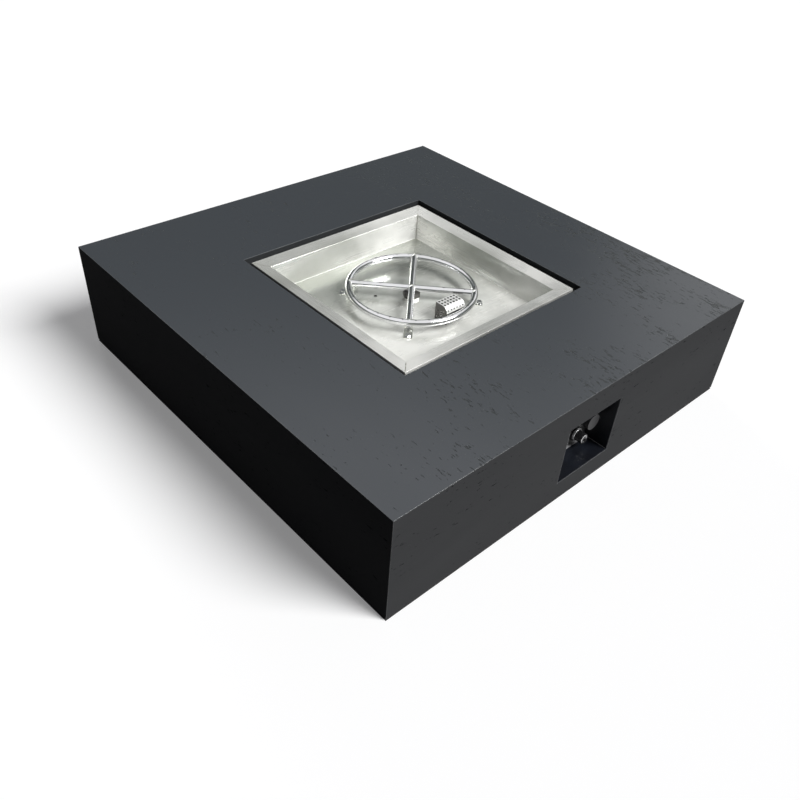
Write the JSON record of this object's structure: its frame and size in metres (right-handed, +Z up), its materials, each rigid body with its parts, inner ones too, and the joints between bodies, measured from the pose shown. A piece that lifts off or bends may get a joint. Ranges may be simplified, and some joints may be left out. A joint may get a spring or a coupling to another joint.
{
  "type": "gas fire pit table",
  "caption": "Low square black wood fire pit table with a drop-in stainless burner pan, a round tube burner, a pilot hood and a recessed gas knob and push igniter.",
  "frame": {"origin": "on the ground under the middle of the table, at the bottom centre of the bounding box", "axes": "+Z up; -Y is the front, the side with the control recess; +X is to the right seen from the front"},
  "size_m": [1.067, 1.067, 0.254],
  "materials": {
    "black_wood": "matte black stain, open pores",
    "frame_wood": "raw softwood",
    "glide_rubber": "matte",
    "pan_steel": "satin stainless sheet",
    "burner_steel": "polished stainless tube",
    "hood_steel": "bright perforated sheet",
    "zinc_steel": "zinc plated",
    "spring_steel": "drawn wire",
    "dark_iron": "dark malleable iron",
    "fitting_brass": "turned brass",
    "valve_metal": "die cast",
    "insulator_ceramic": "satin",
    "probe_copper": "copper",
    "box_black": "satin black powder coat",
    "plate_grey": "satin grey sheet",
    "knob_grey": "satin dark grey anodised",
    "igniter_black": "moulded black",
    "igniter_chrome": "bright plated",
    "battery_shell": "plain sleeve",
    "lead_silicone": "silicone sleeve",
    "flex_steel": "corrugated stainless"
  },
  "bodies": {
    "table": {"top_panel": "black_wood", "front_panel": "black_wood", "back_panel": "black_wood", "left_panel": "black_wood", "right_panel": "black_wood", "corner_posts": "frame_wood", "bearer_rails": "frame_wood", "foot_glides": "glide_rubber", "foot_screws": "zinc_steel", "pan_floor": "pan_steel", "pan_sides": "pan_steel", "burner_ring": "burner_steel", "burner_spokes": "burner_steel", "burner_feet": "pan_steel", "burner_bolts": "burner_steel", "burner_nuts": "zinc_steel", "hub_coupling": "dark_iron", "inlet_nipple": "zinc_steel", "pan_locknuts": "pan_steel", "inlet_elbow": "fitting_brass", "gas_line": "flex_steel", "gas_line_nuts": "fitting_brass", "pilot_hood": "hood_steel", "hood_screws": "zinc_steel", "pilot_bracket": "pan_steel", "spark_electrode": "spring_steel", "electrode_insulator": "insulator_ceramic", "thermocouple_probe": "probe_copper", "thermocouple_nut": "fitting_brass", "ignition_lead": "lead_silicone", "thermocouple_lead": "probe_copper", "control_box": "box_black", "control_plate": "plate_grey", "control_box_screws": "zinc_steel", "valve_body": "valve_metal", "valve_inlet": "fitting_brass", "bonnet_nut": "zinc_steel", "valve_spring": "spring_steel", "igniter_housing": "igniter_black", "igniter_cap": "igniter_black", "igniter_trim_ring": "igniter_chrome", "igniter_bezel": "igniter_chrome", "igniter_ring_nut": "igniter_black", "igniter_battery": "battery_shell", "igniter_spring": "spring_steel"},
    "plunger": {"valve_plunger": "fitting_brass"},
    "knob": {"valve_spindle": "valve_metal", "control_knob": "knob_grey", "knob_set_screw": "spring_steel"},
    "igniter_button": {"igniter_button": "igniter_black"}
  },
  "joints": [
    {"name": "knob_push", "type": "slide", "parent": "table", "child": "plunger", "axis": [0, 1, 0], "range_m": [0, 0.0035], "stiffness_N_per_m": 900},
    {"name": "knob_turn", "type": "hinge", "parent": "plunger", "child": "knob", "pos_m": [0.046, -0.4735, 0.1315], "axis": [0, -1, 0], "range_deg": [0, 120]},
    {"name": "igniter_press", "type": "slide", "parent": "table", "child": "igniter_button", "axis": [0, 1, 0], "range_m": [0, 0.0035], "stiffness_N_per_m": 700}
  ]
}
